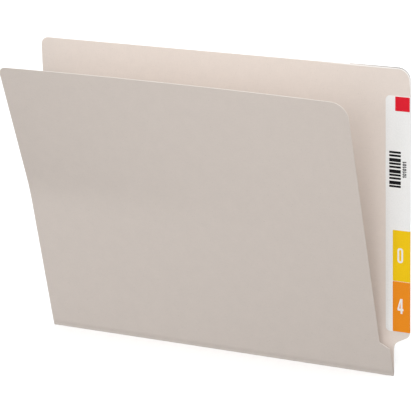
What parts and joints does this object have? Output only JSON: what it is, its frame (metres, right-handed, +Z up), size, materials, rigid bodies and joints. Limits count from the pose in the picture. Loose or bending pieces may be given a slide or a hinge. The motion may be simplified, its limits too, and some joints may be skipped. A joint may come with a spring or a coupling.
{
  "type": "side tab file folder",
  "caption": "Letter size card file folder that opens on its bottom fold, with a labelled tab at the side.",
  "frame": {"origin": "middle of the folder's body on the underside of the fold, the flat land that the folder stands on", "axes": "+X along the fold towards the side tab, +Y from the front leaf to the back leaf, +Z up"},
  "size_m": [0.3114, 0.0716, 0.2418],
  "materials": {
    "card": "matte",
    "white_label": "satin",
    "red_label": "satin",
    "yellow_label": "satin",
    "orange_label": "satin"
  },
  "bodies": {
    "back": {"back_leaf": "card", "fold_strip": "card", "tab_reinforcement": "card", "strip_label": "white_label", "month_label": "red_label", "number_label_yellow": "yellow_label", "number_label_orange": "orange_label"},
    "front": {"front_leaf": "card"}
  },
  "joints": [
    {"name": "fold", "type": "hinge", "parent": "back", "child": "front", "pos_m": [0, -0.00083, 0.00018], "axis": [1, 0, 0], "range_deg": [-12, 162]}
  ]
}
